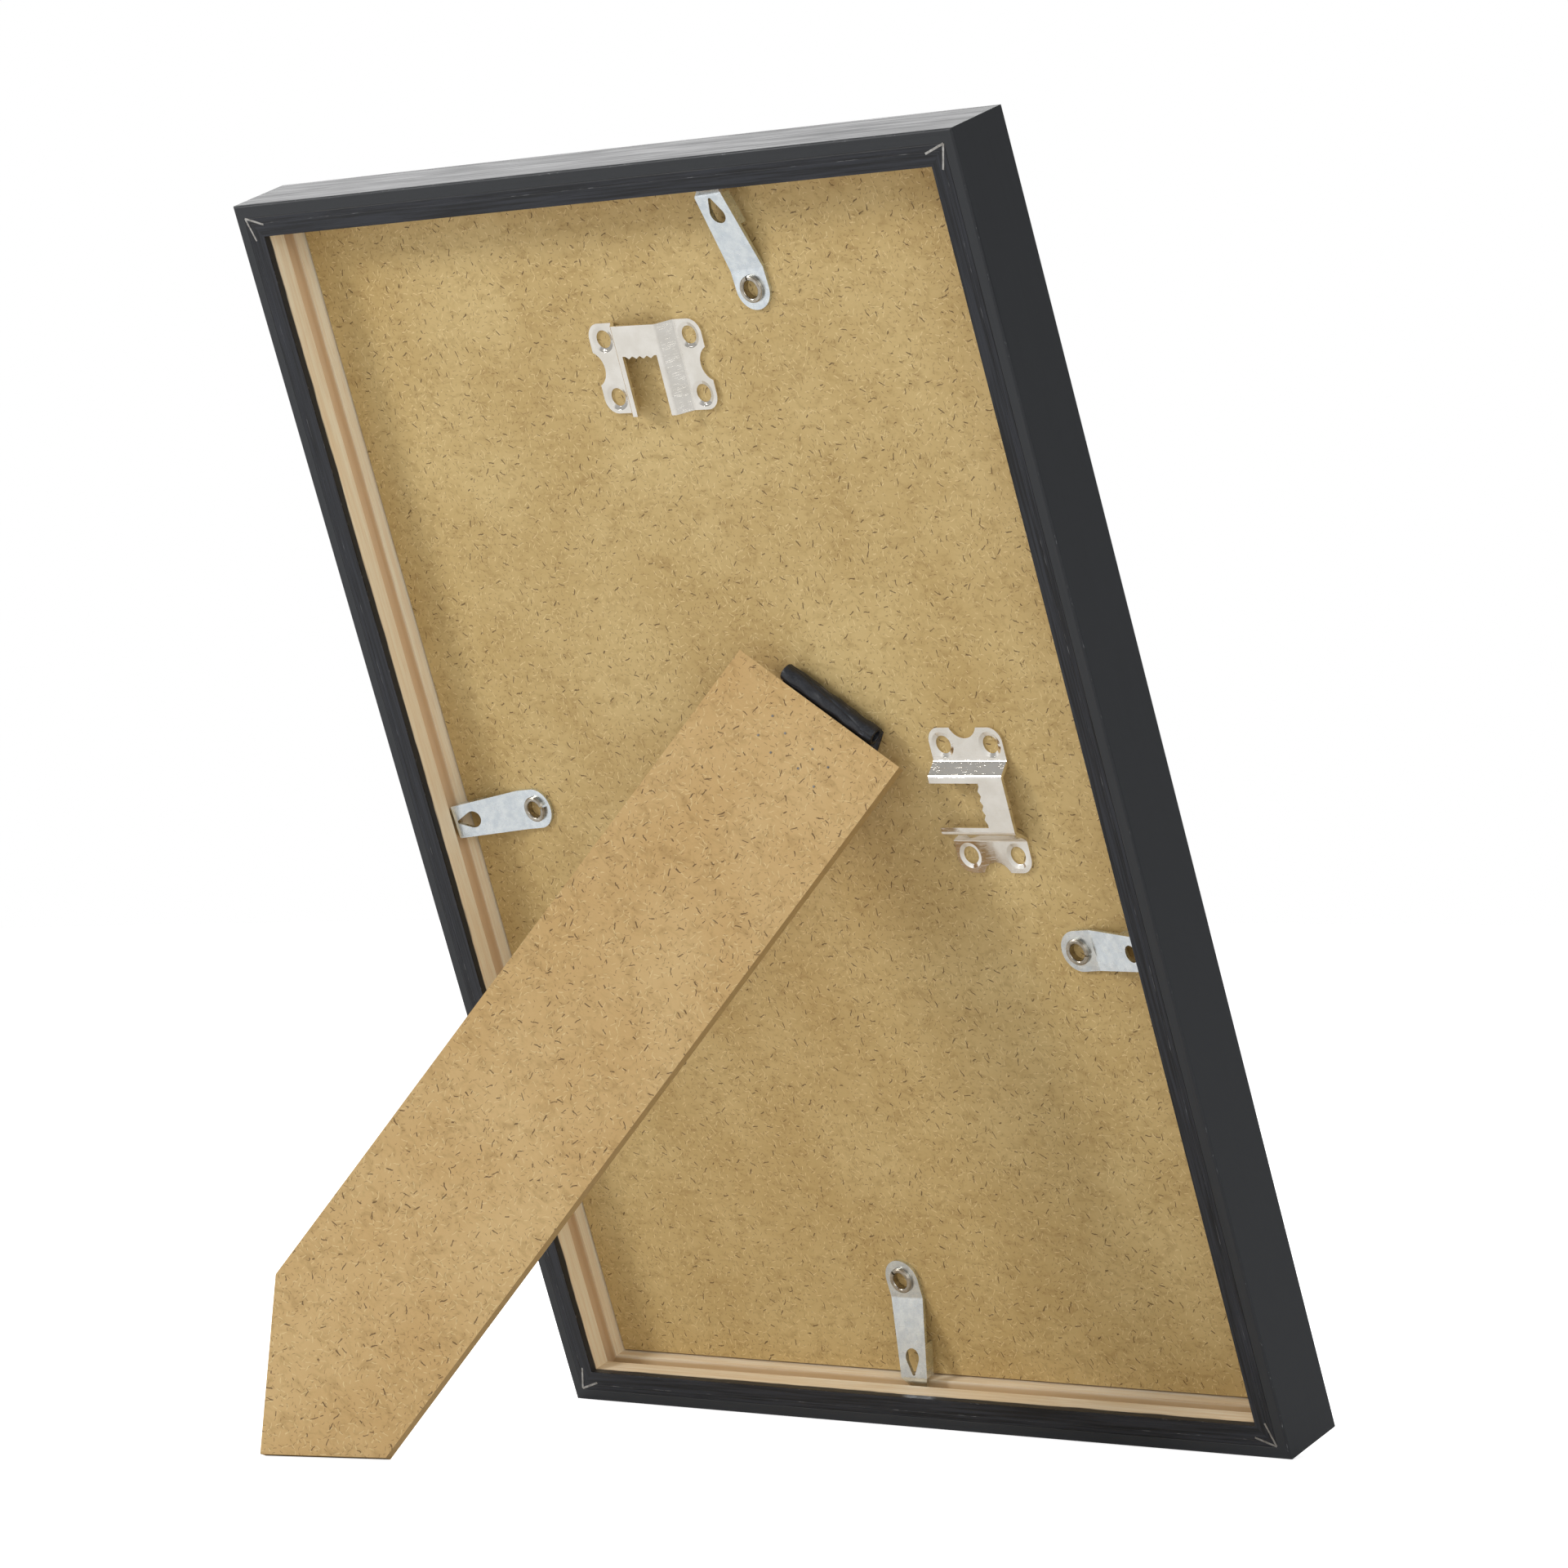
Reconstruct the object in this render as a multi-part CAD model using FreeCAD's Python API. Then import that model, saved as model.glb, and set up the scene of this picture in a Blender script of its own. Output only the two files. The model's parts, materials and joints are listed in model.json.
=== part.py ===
"""Easel back photo frame for an A4 sheet, standing upright on its lower edge and its open leg.

Every piece is drawn in the back view of the upright frame: X runs to the right as seen from
behind, Y runs up the frame from its lower edge, and Z runs out of the back, with zero at the
back face of the rails. One last placement leans the frame back and sets its base on the floor.
"""
import FreeCAD, Part
import math
import os

from FreeCAD import Vector, Placement, Rotation

# Sheet and frame
SHEET_W = 210.0
SHEET_H = 297.0
SHEET_CLEAR = 0.5
RAIL_WALL = 8.0
RAIL_DEPTH = 18.0
LIP_THICK = 1.6
LIP_REACH = 4.0
RAIL_ROUND = 0.6
LEAN_DEG = 21.5

# Groove along the inner wall of each rail, which takes the clip tips
GROOVE_TOP = 6.2
GROOVE_HEIGHT = 3.4
GROOVE_DEPTH = 3.4

# Layers in the rebate, from the front
GLAZING_THICK = 1.2
INSERT_THICK = 0.3
BOARD_THICK = 2.4

# Steel V nails across each mitre
NAIL_WING = 6.0
NAIL_THICK = 0.5
NAIL_DEEP = 8.0
NAIL_APEX = 3.2
NAIL_TURN_DEG = 27.0

# Turn clips and the eyelets they turn on
CLIP_THICK = 0.8
CLIP_LIFT = 0.05
CLIP_END_RADIUS = 5.0
CLIP_BEND = 4.6
CLIP_SHOULDER = 5.0
CLIP_TIP_BEND = 23.5
CLIP_TIP_HALF = 4.1
CLIP_REACH = 27.0
CLIP_NOSE_HALF = 2.0
CLIP_RISE = 5.2
CLIP_DROP = 1.3
CLIP_FLANGE_LENGTH = 8.0
CLIP_FLANGE_DROP = 1.9
CLIP_BEND_ROUND = 1.2
CLIP_NOSE_ROUND = 0.6
TEAR_PLACE = 18.6
TEAR_RADIUS = 2.1
TEAR_POINT = 22.4
TEAR_POINT_RADIUS = 0.5
EYELET_RADIUS = 2.45
EYELET_BORE = 2.05
EYELET_HEAD_RADIUS = 3.2
EYELET_HEAD_HEIGHT = 0.9
EYELET_DEEP = 1.9
EYELET_FIT = 0.06
EYELET_LIP = 0.45
EYELET_SPLIT = 0.5

# Eyelet places, from the middle of the board, the way each clip points, and each eyelet's split
CLIPS = {
    "top": (34.0, 122.8, 92.7, 95),
    "left": (-81.2, -1.9, 183.6, 12),
    "right": (79.2, -37.6, 3.5, -15),
    "bottom": (-2.7, -123.6, 271.1, 125),
}

# Sawtooth hangers
HANGER_WIDTH = 35.4
HANGER_HEIGHT = 21.8
HANGER_THICK = 0.8
HANGER_RISE = 4.1
HANGER_BRIDGE = 14.0
HANGER_FOOT = 19.4
HANGER_CORNER = 3.6
HANGER_BEND_ROUND = 1.1
HANGER_HOLE = 2.15
HANGER_DIMPLE = 1.0
HANGER_DIMPLE_DEEP = 0.35
HANGER_HOLE_ACROSS = 27.0
HANGER_HOLE_UP = 14.0
HANGER_PRONG_WALL = 0.4
HANGER_PRONG_DEEP = 1.2
HANGER_SIDE_NOTCH = 4.3
HANGER_SIDE_NOTCH_DEEP = 2.6
SLOT_WIDTH = 10.8
SLOT_TOP = 7.3
TOOTH_COUNT = 4
TOOTH_PITCH = 2.3
TOOTH_HEIGHT = 0.65
HANGERS = {
    "portrait": (-3.0, 106.6, -1.1),
    "landscape": (61.5, -0.8, -90.7),
}

# Easel leg, folded along the board and opened about the axis of its strap roll
LEG_WIDTH = 49.2
LEG_THICK = 3.0
LEG_LENGTH = 216.0
LEG_POINT_SHARE = 0.483
LEG_TOP_GAP = 2.4
LEG_INNER = 1.5
AXIS_RIGHT = 5.7
AXIS_UP = 39.6
AXIS_SLOPE_DEG = 36.8
AXIS_HEIGHT = 3.2

# Strap hinge
STRAP_START = 12.0
STRAP_WIDTH = 27.5
STRAP_THICK = 0.7
STRAP_LENGTH = 21.0
ROLL_RADIUS = 2.2
STAPLE_CROWN = 6.0
STAPLE_WIRE = 0.5
STAPLE_PLACES = [(4.5, 7.5), (9.6, 9.0), (17.4, 8.2), (23.2, 9.4)]
BOARD_STAPLE_DEEP = 1.8
STAPLE_PROUD = 0.1

OVERRUN = 1.0
TINY = 0.01

cavity_w = SHEET_W + 2 * SHEET_CLEAR
cavity_h = SHEET_H + 2 * SHEET_CLEAR
frame_w = cavity_w + 2 * RAIL_WALL
frame_h = cavity_h + 2 * RAIL_WALL
half_w = frame_w / 2
rebate_bottom = -RAIL_DEPTH + LIP_THICK
insert_bottom = rebate_bottom + GLAZING_THICK
board_bottom = insert_bottom + INSERT_THICK
board_top = board_bottom + BOARD_THICK
board_mid_y = frame_h / 2
lean = math.radians(LEAN_DEG)


def prism(outline, low, high):
    """A closed outline of points in X and Y, raised from one height to another."""
    points = [Vector(x, y, low) for x, y in outline]
    return Part.Face(Part.makePolygon(points + points[:1])).extrude(Vector(0, 0, high - low))


def profile_along_y(outline, start, end):
    """A closed outline of points in X and Z, carried along Y."""
    points = [Vector(x, start, z) for x, z in outline]
    return Part.Face(Part.makePolygon(points + points[:1])).extrude(Vector(0, end - start, 0))


def rod(x, y, low, high, radius):
    """A round rod along Z."""
    return Part.makeCylinder(radius, high - low, Vector(x, y, low))


def bent_strip(line, thick, rounds, start, end):
    """A strip bent along an open line of points in X and Z, with rounded bends, carried along Y.

    The line is the strip's upper face. Each inner corner gets an arc of its own radius, and the
    underside is the same line set off by the thickness.
    """
    upper = rounded_line(line, rounds, 0)
    lower = rounded_line(line, rounds, thick)
    closing = [Part.LineSegment(upper[-1][-1], lower[-1][-1]).toShape()]
    closing.append(Part.LineSegment(lower[0][0], upper[0][0]).toShape())
    edges = [curve_edge(points) for points in upper + lower] + closing
    face = Part.Face(Part.Wire(Part.__sortEdges__(edges)))
    face.translate(Vector(0, start, 0))
    return face.extrude(Vector(0, end - start, 0))


def curve_edge(points):
    """A straight edge through two points, or an arc through three."""
    if len(points) == 2:
        return Part.LineSegment(points[0], points[1]).toShape()
    return Part.Arc(points[0], points[1], points[2]).toShape()


def rounded_line(line, rounds, inset):
    """Straight runs and tangent arcs along a line of points in X and Z, set off downwards."""
    points = [Vector(x, 0, z) for x, z in line]
    ways = []
    for first, second in zip(points, points[1:]):
        ways.append((second - first).normalize())
    sides = [Vector(way.z, 0, -way.x) for way in ways]
    runs = []
    start = points[0] + sides[0] * inset
    for number, radius in enumerate(rounds):
        before, after = ways[number], ways[number + 1]
        corner = points[number + 1]
        bend = before.cross(after).y
        turn = before.getAngle(after)
        reach = radius * math.tan(turn / 2)
        first_end = corner - before * reach
        second_start = corner + after * reach
        towards = sides[number] if bend > 0 else sides[number] * -1
        centre = first_end + towards * radius
        own = radius - inset if bend > 0 else radius + inset
        begin = first_end + sides[number] * inset
        finish = second_start + sides[number + 1] * inset
        middle = centre + ((begin + finish) * 0.5 - centre).normalize() * own
        runs.append([start, begin])
        runs.append([begin, middle, finish])
        start = finish
    runs.append([start, points[-1] + sides[-1] * inset])
    return runs


def tube(x, y, low, high, outer, inner):
    """A round tube along Z."""
    return rod(x, y, low, high, outer).cut(rod(x, y, low, high, inner))


def upright_edges(shape):
    """The straight edges that run along Z."""
    found = []
    for edge in shape.Edges:
        run = edge.Vertexes[-1].Point - edge.Vertexes[0].Point
        if abs(run.x) + abs(run.y) < TINY < abs(run.z):
            found.append(edge)
    return found


def placed(shape, placement):
    """A copy of the shape under one more placement."""
    copy = shape.copy()
    copy.Placement = placement.multiply(copy.Placement)
    return copy


def make_rail(length):
    """One moulding with its back face at Z zero, outer face on X zero, mitred at both ends."""
    inner = RAIL_WALL
    lip = RAIL_WALL + LIP_REACH
    mid = GROOVE_TOP + GROOVE_HEIGHT / 2
    section = [(0, 0), (inner, 0), (inner, rebate_bottom), (lip, rebate_bottom), (lip, -RAIL_DEPTH)]
    section.append((0, -RAIL_DEPTH))
    bar = profile_along_y(section, 0, length)
    long_edges = []
    for edge in bar.Edges:
        middle = edge.CenterOfMass
        if abs(middle.x) < TINY and abs(middle.y - length / 2) < TINY:
            long_edges.append(edge)
    bar = bar.makeFillet(RAIL_ROUND, long_edges)
    half = GROOVE_HEIGHT / 2
    slot_depth = GROOVE_DEPTH - half
    groove_box = Part.makeBox(slot_depth + OVERRUN, length, GROOVE_HEIGHT)
    groove_box.translate(Vector(inner - slot_depth, 0, -mid - half))
    groove_round = Part.makeCylinder(half, length, Vector(inner - slot_depth, 0, -mid), Vector(0, 1, 0))
    bar = bar.cut(groove_box).cut(groove_round)
    keep = prism([(0, 0), (lip, lip), (lip, length - lip), (0, length)], -RAIL_DEPTH, 0)
    return bar.common(keep)


def make_v_nail():
    """A bent steel strip whose wings run from the mitre line along the two rails."""
    step = NAIL_THICK / 2
    pieces = []
    for side in (1, -1):
        wing = Part.makeBox(NAIL_WING, NAIL_THICK, NAIL_DEEP, Vector(0, -step, -NAIL_DEEP))
        wing.rotate(Vector(0, 0, 0), Vector(0, 0, 1), 45 + side * NAIL_TURN_DEG)
        pieces.append(wing)
    return pieces[0].fuse(pieces[1]).removeSplitter()


def make_frame():
    """Four mitred rails and the nails that cross their joints."""
    left = placed(make_rail(frame_h), Placement(Vector(-half_w, 0, 0), Rotation()))
    half_turn = Rotation(Vector(0, 0, 1), 180)
    right = placed(make_rail(frame_h), Placement(Vector(half_w, frame_h, 0), half_turn))
    down = Rotation(Vector(0, 0, 1), -90)
    up = Rotation(Vector(0, 0, 1), 90)
    top = placed(make_rail(frame_w), Placement(Vector(-half_w, frame_h, 0), down))
    bottom = placed(make_rail(frame_w), Placement(Vector(half_w, 0, 0), up))
    nails = []
    for corner, quarter in enumerate([(-half_w, 0), (half_w, 0), (half_w, frame_h), (-half_w, frame_h)]):
        nail = placed(make_v_nail(), Placement(Vector(NAIL_APEX, NAIL_APEX, 0), Rotation()))
        spin = Placement(Vector(quarter[0], quarter[1], 0), Rotation(Vector(0, 0, 1), 90 * corner))
        nails.append(placed(nail, spin))
    rails = {"rail_left": left, "rail_right": right, "rail_top": top, "rail_bottom": bottom}
    for name in rails:
        for nail in nails:
            rails[name] = rails[name].cut(nail)
    rails["corner_v_nails"] = Part.makeCompound(nails)
    return rails


def sheet(low, high):
    """A flat sheet that fills the rebate, with the fitting clearance all round."""
    corner = Vector(-SHEET_W / 2, board_mid_y - SHEET_H / 2, low)
    return Part.makeBox(SHEET_W, SHEET_H, high - low, corner)


def clip_line(extra):
    """The clip's upper face seen from the side: flat, rising, then dropping at the nose."""
    high = CLIP_THICK
    line = [(-CLIP_END_RADIUS, high), (CLIP_BEND, high), (CLIP_TIP_BEND, high + CLIP_RISE)]
    line.append((CLIP_REACH + extra, high + CLIP_RISE - CLIP_DROP))
    return line


def make_clip():
    """A turn clip in its own frame: eyelet centre at the origin, nose along X, seat at Z zero."""
    half = CLIP_END_RADIUS
    plan = [(0, -half), (CLIP_BEND, -CLIP_SHOULDER), (CLIP_TIP_BEND, -CLIP_TIP_HALF)]
    plan += [(CLIP_REACH, -CLIP_NOSE_HALF), (CLIP_REACH, CLIP_NOSE_HALF)]
    plan += [(CLIP_TIP_BEND, CLIP_TIP_HALF), (CLIP_BEND, CLIP_SHOULDER), (0, half)]
    tall = CLIP_THICK + CLIP_RISE + OVERRUN
    outline = prism(plan, -OVERRUN, tall).fuse(rod(0, 0, -OVERRUN, tall, half))
    wide = half + OVERRUN
    bends = [CLIP_BEND_ROUND, CLIP_NOSE_ROUND + CLIP_THICK]
    strip = bent_strip(clip_line(OVERRUN), CLIP_THICK, bends, -wide, wide).common(outline)
    flange_start = CLIP_TIP_BEND - CLIP_FLANGE_LENGTH
    slope = CLIP_RISE / (CLIP_TIP_BEND - CLIP_BEND)
    run = [(CLIP_BEND, CLIP_THICK), (CLIP_TIP_BEND, CLIP_THICK + CLIP_RISE)]
    drop = CLIP_THICK * math.sqrt(1 + slope * slope) + CLIP_FLANGE_DROP
    deep = profile_along_y(run + [(x, z - drop) for x, z in reversed(run)], -wide, wide)
    reach = Part.makeBox(CLIP_FLANGE_LENGTH, half * 4, tall + OVERRUN, Vector(flange_start, -half * 2, -OVERRUN))
    inner_plan = [(0, -half + CLIP_THICK), (CLIP_BEND, -CLIP_SHOULDER + CLIP_THICK)]
    inner_plan += [(CLIP_TIP_BEND + OVERRUN, -CLIP_TIP_HALF + CLIP_THICK)]
    inner_plan += [(CLIP_TIP_BEND + OVERRUN, CLIP_TIP_HALF - CLIP_THICK)]
    inner_plan += [(CLIP_BEND, CLIP_SHOULDER - CLIP_THICK), (0, half - CLIP_THICK)]
    inside = prism(inner_plan, -OVERRUN, tall)
    flanges = deep.common(outline).common(reach).cut(inside)
    tear = rod(TEAR_PLACE, 0, -OVERRUN, tall, TEAR_RADIUS)
    spread = TEAR_POINT - TEAR_PLACE
    taper = math.asin((TEAR_RADIUS - TEAR_POINT_RADIUS) / spread)
    big = (TEAR_RADIUS * math.sin(taper), TEAR_RADIUS * math.cos(taper))
    small = (TEAR_POINT_RADIUS * math.sin(taper), TEAR_POINT_RADIUS * math.cos(taper))
    wedge = [(TEAR_PLACE + big[0], -big[1]), (TEAR_POINT + small[0], -small[1])]
    wedge += [(TEAR_POINT + small[0], small[1]), (TEAR_PLACE + big[0], big[1])]
    tear = tear.fuse(prism(wedge, -OVERRUN, tall)).fuse(rod(TEAR_POINT, 0, -OVERRUN, tall, TEAR_POINT_RADIUS))
    hole = rod(0, 0, -OVERRUN, tall, EYELET_RADIUS + EYELET_FIT)
    return strip.fuse(flanges).cut(tear).cut(hole).removeSplitter()


def make_eyelet():
    """A rolled eyelet: its barrel stands in the board and its head holds the clip down."""
    seat = CLIP_LIFT + CLIP_THICK + CLIP_LIFT
    barrel = tube(0, 0, -EYELET_DEEP, seat, EYELET_RADIUS, EYELET_BORE)
    head = tube(0, 0, seat, seat + EYELET_HEAD_HEIGHT, EYELET_HEAD_RADIUS, EYELET_BORE)
    rims = []
    for edge in head.Edges:
        if edge.CenterOfMass.z > seat + EYELET_HEAD_HEIGHT / 2 and edge.Closed:
            rims.append(edge)
    head = head.makeFillet(EYELET_LIP, rims)
    low_corner = Vector(0, -EYELET_SPLIT / 2, seat)
    split = Part.makeBox(EYELET_HEAD_RADIUS + OVERRUN, EYELET_SPLIT, EYELET_HEAD_HEIGHT + OVERRUN, low_corner)
    return barrel.fuse(head.cut(split)).removeSplitter()


def make_hanger():
    """A pressed hat-section hanger with a toothed slot, standing on two pierced feet."""
    w = HANGER_WIDTH / 2
    h = HANGER_HEIGHT / 2
    foot = HANGER_FOOT / 2
    bridge = HANGER_BRIDGE / 2
    t = HANGER_THICK
    line = [(-w, t), (-foot, t), (-bridge, HANGER_RISE), (bridge, HANGER_RISE), (foot, t), (w, t)]
    inner = HANGER_BEND_ROUND - t
    outer_bend = HANGER_BEND_ROUND
    hat = bent_strip(line, t, [inner + t / 2, outer_bend, outer_bend, inner + t / 2], -h, h)
    plate = Part.makeBox(HANGER_WIDTH, HANGER_HEIGHT, HANGER_RISE, Vector(-w, -h, 0))
    plate = plate.makeFillet(HANGER_CORNER, upright_edges(plate))
    hat = hat.common(plate)
    for side in (-1, 1):
        centre = side * (w + HANGER_SIDE_NOTCH - HANGER_SIDE_NOTCH_DEEP)
        hat = hat.cut(rod(centre, 0, -OVERRUN, HANGER_RISE, HANGER_SIDE_NOTCH))
    slot = SLOT_WIDTH / 2
    teeth_y = h - SLOT_TOP
    outline = [(-slot, -h - OVERRUN), (-slot, teeth_y)]
    start = -TOOTH_PITCH * TOOTH_COUNT / 2
    for number in range(TOOTH_COUNT):
        left = start + number * TOOTH_PITCH
        outline.append((left, teeth_y))
        outline.append((left + TOOTH_PITCH / 2, teeth_y - TOOTH_HEIGHT))
    outline += [(-start, teeth_y), (slot, teeth_y), (slot, -h - OVERRUN)]
    hat = hat.cut(prism(outline, t + OVERRUN / 2, HANGER_RISE + OVERRUN))
    for side in (-1, 1):
        for level in (-1, 1):
            x = side * HANGER_HOLE_ACROSS / 2
            y = level * HANGER_HOLE_UP / 2
            outer = HANGER_HOLE + HANGER_PRONG_WALL
            hat = hat.fuse(rod(x, y, -HANGER_PRONG_DEEP, t / 2, outer))
            dimple = Part.makeCone(HANGER_HOLE, HANGER_HOLE + HANGER_DIMPLE, HANGER_DIMPLE_DEEP)
            dimple.translate(Vector(x, y, t - HANGER_DIMPLE_DEEP))
            hat = hat.cut(dimple)
            hat = hat.cut(rod(x, y, -HANGER_PRONG_DEEP - OVERRUN, t + OVERRUN, HANGER_HOLE))
    return hat.removeSplitter()


def opening_angle():
    """The angle at which the foot's point meets the floor, and the slant of the foot edge.

    Heights above the floor are written as a constant, a cosine and a sine part of the angle.
    """
    across_up = -math.sin(slope_angle) * math.cos(lean)
    down_up = -math.cos(slope_angle) * math.cos(lean)
    out_up = -math.sin(lean)
    base = axis_y * math.cos(lean) - (board_top + AXIS_HEIGHT) * math.sin(lean)
    constant = base + LEG_WIDTH * LEG_POINT_SHARE * across_up
    cos_part = LEG_LENGTH * down_up - LEG_INNER * out_up
    sin_part = LEG_LENGTH * out_up + LEG_INNER * down_up
    phase = math.atan2(sin_part, cos_part)
    opened = phase + math.pi + math.acos(constant / math.hypot(cos_part, sin_part))
    fall = down_up * math.cos(opened) + out_up * math.sin(opened)
    return opened, across_up / fall


def make_leg():
    """A flat stay with square top corners and a right-angled point at the foot.

    It lies in the hinge's own frame: X along the hinge, Y up the stay, Z out of its rear face.
    """
    point = LEG_WIDTH * LEG_POINT_SHARE
    rise = (LEG_WIDTH - point) * foot_slant
    other = point / foot_slant
    outline = [(0, -LEG_TOP_GAP), (0, -LEG_LENGTH + other), (point, -LEG_LENGTH)]
    outline += [(LEG_WIDTH, -LEG_LENGTH + rise), (LEG_WIDTH, -LEG_TOP_GAP)]
    return prism(outline, -LEG_INNER, LEG_THICK - LEG_INNER)


def make_leg_strap():
    """The strap's roll about the hinge axis and its flap along the leg's inner face."""
    roll_start = Vector(STRAP_START, 0, 0)
    along = Vector(1, 0, 0)
    roll = Part.makeCylinder(ROLL_RADIUS, STRAP_WIDTH, roll_start, along)
    flap_low = Vector(STRAP_START, -STRAP_LENGTH, -LEG_INNER - STRAP_THICK)
    flap = Part.makeBox(STRAP_WIDTH, STRAP_LENGTH, STRAP_THICK, flap_low)
    bore = Part.makeCylinder(ROLL_RADIUS - STRAP_THICK, STRAP_WIDTH, roll_start, along)
    return roll.fuse(flap).cut(bore).removeSplitter()


def make_board_strap():
    """The strap's flap on the board, in the hinge frame but folded flat."""
    corner = Vector(STRAP_START, -STRAP_LENGTH, -AXIS_HEIGHT)
    return Part.makeBox(STRAP_WIDTH, STRAP_LENGTH, STRAP_THICK, corner)


def make_staples(seat, depth):
    """Staples whose crowns lie across the strap, flush with its face, and whose legs go up."""
    staples = []
    for across, down in STAPLE_PLACES:
        x = STRAP_START + across - STAPLE_WIRE / 2
        y = -LEG_TOP_GAP - down
        crown = Part.makeBox(STAPLE_WIRE, STAPLE_CROWN, STAPLE_WIRE, Vector(x, y - STAPLE_CROWN, seat))
        staple = crown
        for end in (0, STAPLE_CROWN - STAPLE_WIRE):
            corner = Vector(x, y - STAPLE_CROWN + end, seat)
            staple = staple.fuse(Part.makeBox(STAPLE_WIRE, STAPLE_WIRE, depth, corner))
        staples.append(staple.removeSplitter())
    return staples


def make_board_staples():
    """Staples through the board's flap, with their crowns flush with its outer face."""
    top = STRAP_THICK - AXIS_HEIGHT
    staples = []
    for across, down in STAPLE_PLACES:
        x = STRAP_START + across - STAPLE_WIRE / 2
        y = -LEG_TOP_GAP - down
        crown = Part.makeBox(STAPLE_WIRE, STAPLE_CROWN, STAPLE_WIRE)
        crown.translate(Vector(x, y - STAPLE_CROWN, top - STAPLE_WIRE))
        staple = crown
        for end in (0, STAPLE_CROWN - STAPLE_WIRE):
            leg = Part.makeBox(STAPLE_WIRE, STAPLE_WIRE, BOARD_STAPLE_DEEP + STRAP_THICK)
            leg.translate(Vector(x, y - STAPLE_CROWN + end, -AXIS_HEIGHT - BOARD_STAPLE_DEEP))
            staple = staple.fuse(leg)
        staples.append(staple.removeSplitter())
    return staples


slope_angle = math.radians(AXIS_SLOPE_DEG)
axis_y = board_mid_y + AXIS_UP
open_angle, foot_slant = opening_angle()
hinge_flat = Placement(Vector(AXIS_RIGHT, axis_y, board_top + AXIS_HEIGHT),
                       Rotation(Vector(0, 0, 1), -AXIS_SLOPE_DEG))
hinge_open = hinge_flat.multiply(Placement(Vector(0, 0, 0), Rotation(Vector(1, 0, 0), -math.degrees(open_angle))))

nodes = make_frame()
nodes["glazing"] = sheet(rebate_bottom, insert_bottom)
nodes["insert_sheet"] = sheet(insert_bottom, board_bottom)
board = sheet(board_bottom, board_top)

clip_shape = make_clip()
eyelet_shape = make_eyelet()
for name, (x, y, turn, split_turn) in CLIPS.items():
    raised = Vector(x, board_mid_y + y, board_top + CLIP_LIFT)
    nodes["turn_clip_" + name] = placed(clip_shape, Placement(raised, Rotation(Vector(0, 0, 1), turn)))
    seated = Vector(x, board_mid_y + y, board_top)
    eyelet_place = Placement(seated, Rotation(Vector(0, 0, 1), split_turn))
    nodes["clip_eyelet_" + name] = placed(eyelet_shape, eyelet_place)
    board = board.cut(nodes["clip_eyelet_" + name])

hanger_shape = make_hanger()
for name, (x, y, turn) in HANGERS.items():
    seat_place = Placement(Vector(x, board_mid_y + y, board_top), Rotation(Vector(0, 0, 1), turn))
    nodes["sawtooth_hanger_" + name] = placed(hanger_shape, seat_place)
    board = board.cut(nodes["sawtooth_hanger_" + name])

leg = make_leg()
leg_strap = make_leg_strap()
leg_staples = make_staples(-LEG_INNER - STRAP_THICK, LEG_THICK + STRAP_THICK + STAPLE_PROUD)
for staple in leg_staples:
    leg = leg.cut(staple)
    leg_strap = leg_strap.cut(staple)
board_strap = placed(make_board_strap(), hinge_flat)
board_staples = [placed(staple, hinge_flat) for staple in make_board_staples()]
for staple in board_staples:
    board = board.cut(staple)
    board_strap = board_strap.cut(staple)
nodes["backing_board"] = board
nodes["easel_leg"] = placed(leg, hinge_open)
nodes["strap_leg_flap"] = placed(leg_strap, hinge_open)
nodes["strap_leg_staples"] = placed(Part.makeCompound(leg_staples), hinge_open)
nodes["strap_board_flap"] = board_strap
nodes["strap_board_staples"] = Part.makeCompound(board_staples)

# The back view turns into the standing frame: right becomes -X, up leans back, out of the back
# becomes +Y and a little down. The base is then centred between the front edge and the foot.
face_front = Rotation(Vector(0, 0, 1), 180).multiply(Rotation(Vector(1, 0, 0), 90))
lean_back = Rotation(Vector(1, 0, 0), -LEAN_DEG)
standing = Placement(Vector(0, 0, 0), lean_back.multiply(face_front))
solids = {name: placed(shape, standing) for name, shape in nodes.items()}
whole = Part.makeCompound(list(solids.values())).BoundBox
centring = Placement(Vector(0, -(whole.YMin + whole.YMax) / 2, 0), Rotation())
to_world = centring.multiply(standing)

os.makedirs("parts", exist_ok=True)
for name, shape in nodes.items():
    final = placed(shape, to_world)
    final.exportStep("parts/" + name + ".step")
    print(name, "valid", final.isValid(), "solids", len(final.Solids), "volume", round(final.Volume, 3))
print("open angle", round(math.degrees(open_angle), 3), "foot slant", round(math.degrees(math.atan(foot_slant)), 3))
print("whole", whole)
print("centring", centring.Base)
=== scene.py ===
"""Looks for an easel back photo frame, seen from behind: black mouldings, hard fibreboard,
zinc and nickel hardware and a black strap. Lengths are in metres unless a name says mm."""
import json
import math

import bpy
import numpy as np
from mathutils import Matrix, Vector


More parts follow.
